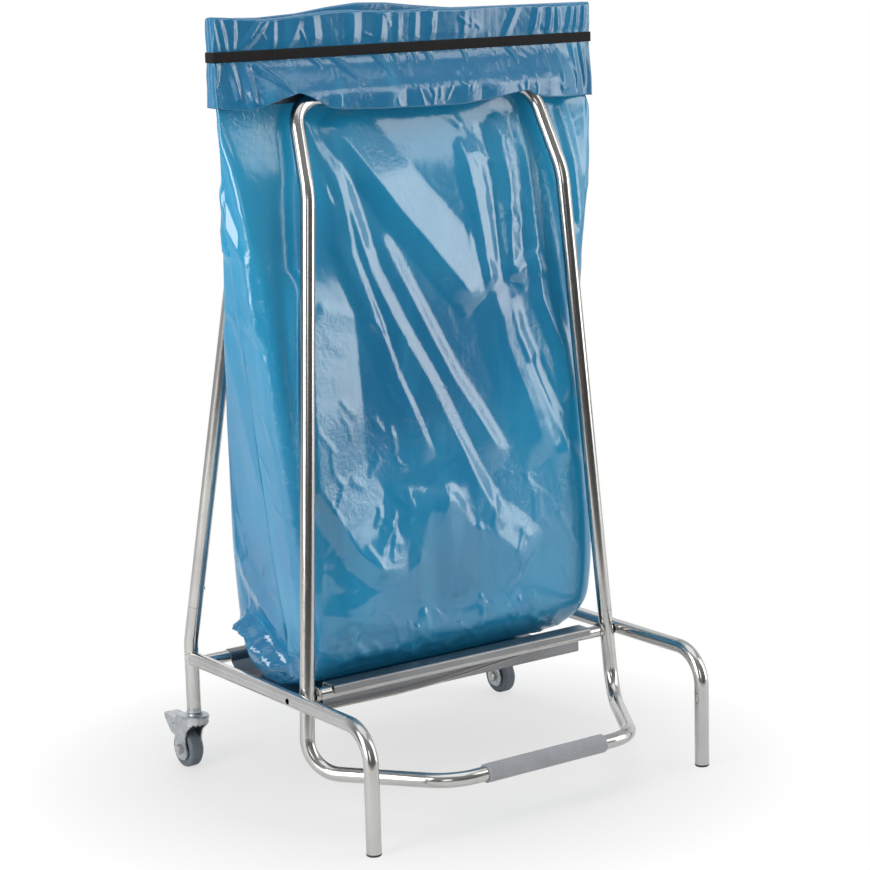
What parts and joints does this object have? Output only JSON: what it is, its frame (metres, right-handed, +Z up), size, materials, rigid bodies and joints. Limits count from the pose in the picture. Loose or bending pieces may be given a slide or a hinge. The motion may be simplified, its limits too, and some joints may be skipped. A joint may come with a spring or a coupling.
{
  "type": "trash bag stand",
  "caption": "Pedal-operated bag stand of bent steel tube with rear casters and a sheet tray; a film bag hangs folded over hinged jaws under an elastic band.",
  "frame": {"origin": "on the floor, in the middle of the stand's outline seen from above", "axes": "+X to the right seen from the pedal side, +Y from the pedal to the casters, +Z up"},
  "size_m": [0.589, 0.5005, 0.998],
  "materials": {
    "polished_tube": "polished",
    "sheet_steel": "satin",
    "wire_steel": "satin",
    "screw_steel": "satin",
    "black_plastic": "moulded",
    "grey_sleeve": "matt",
    "blue_film": "glossy film",
    "black_elastic": "matt",
    "zinc_steel": "zinc plated",
    "axle_steel": "zinc plated",
    "grey_core": "moulded",
    "grey_tyre": "matt"
  },
  "bodies": {
    "frame": {"left_side_rail": "polished_tube", "right_side_rail": "polished_tube", "left_rear_post": "polished_tube", "right_rear_post": "polished_tube", "rear_hoop": "polished_tube", "rear_joiners": "polished_tube", "joint_screws": "screw_steel", "rear_cross_tube": "polished_tube", "frame_welds": "polished_tube", "foot_plugs": "black_plastic", "front_cross_bar": "polished_tube", "bar_plugs": "black_plastic", "spacer_bushes": "polished_tube", "pivot_washers": "polished_tube", "pivot_bolts": "screw_steel", "tray": "sheet_steel", "bow_wire": "wire_steel", "rear_jaw": "sheet_steel", "left_caster_stem": "zinc_steel", "right_caster_stem": "zinc_steel", "bag": "blue_film", "elastic_band": "black_elastic"},
    "pedal_frame": {"pedal_loop": "polished_tube", "front_hoop": "polished_tube", "front_joiners": "polished_tube", "pedal_sleeve": "grey_sleeve", "front_jaw": "sheet_steel"},
    "left_swivel": {"left_swivel_head": "zinc_steel", "left_fork": "zinc_steel", "left_axle_bolt": "axle_steel", "left_axle_nut": "axle_steel", "left_brake_pin": "axle_steel"},
    "left_wheel": {"left_wheel_core": "grey_core", "left_tyre": "grey_tyre"},
    "left_brake": {"left_brake_lever": "zinc_steel"},
    "right_swivel": {"right_swivel_head": "zinc_steel", "right_fork": "zinc_steel", "right_axle_bolt": "axle_steel", "right_axle_nut": "axle_steel", "right_brake_pin": "axle_steel"},
    "right_wheel": {"right_wheel_core": "grey_core", "right_tyre": "grey_tyre"},
    "right_brake": {"right_brake_lever": "zinc_steel"}
  },
  "joints": [
    {"name": "pedal_pivot", "type": "hinge", "parent": "frame", "child": "pedal_frame", "pos_m": [0, -0.0675, 0.155], "axis": [1, 0, 0], "range_deg": [0, 18], "deforming": ["bag", "elastic_band"]},
    {"name": "left_caster_swivel", "type": "hinge", "parent": "frame", "child": "left_swivel", "pos_m": [-0.263, 0.1845, 0.076], "axis": [0, 0, 1], "continuous": true},
    {"name": "left_wheel_roll", "type": "hinge", "parent": "left_swivel", "child": "left_wheel", "pos_m": [-0.263, 0.2045, 0.0254], "axis": [1, 0, 0], "continuous": true},
    {"name": "left_brake_press", "type": "hinge", "parent": "left_swivel", "child": "left_brake", "pos_m": [-0.263, 0.2219, 0.05], "axis": [-1, 0, 0], "range_deg": [0, 14]},
    {"name": "right_caster_swivel", "type": "hinge", "parent": "frame", "child": "right_swivel", "pos_m": [0.263, 0.1845, 0.076], "axis": [0, 0, 1], "continuous": true},
    {"name": "right_wheel_roll", "type": "hinge", "parent": "right_swivel", "child": "right_wheel", "pos_m": [0.263, 0.2045, 0.0254], "axis": [1, 0, 0], "continuous": true},
    {"name": "right_brake_press", "type": "hinge", "parent": "right_swivel", "child": "right_brake", "pos_m": [0.263, 0.2219, 0.05], "axis": [-1, 0, 0], "range_deg": [0, 14]}
  ]
}
